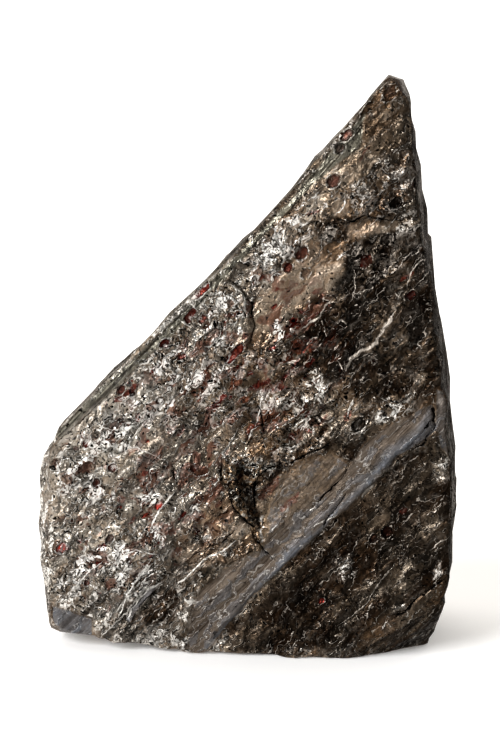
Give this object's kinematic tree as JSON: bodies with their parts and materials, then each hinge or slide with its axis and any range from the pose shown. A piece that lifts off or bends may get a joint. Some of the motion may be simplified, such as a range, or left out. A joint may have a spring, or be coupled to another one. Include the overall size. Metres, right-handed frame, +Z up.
{
  "type": "anthracite lump",
  "caption": "Natural lump of lustrous hard coal: a tall wedge-shaped slab with a pointed top, a polished band and a crumbled hollow, standing on its broken base.",
  "frame": {"origin": "middle of the bounding box's underside, on the surface that the lump stands on", "axes": "+Z up, towards the pointed top; the broad front face looks along -Y; +X to the right as seen from the front"},
  "size_m": [0.1352, 0.065, 0.1841],
  "materials": {
    "anthracite": "dark brown-grey hard coal with a glassy to submetallic shine, crinkled shell-shaped fractures and small dark red stains"
  },
  "bodies": {
    "root": {"anthracite": "anthracite"}
  },
  "joints": []
}
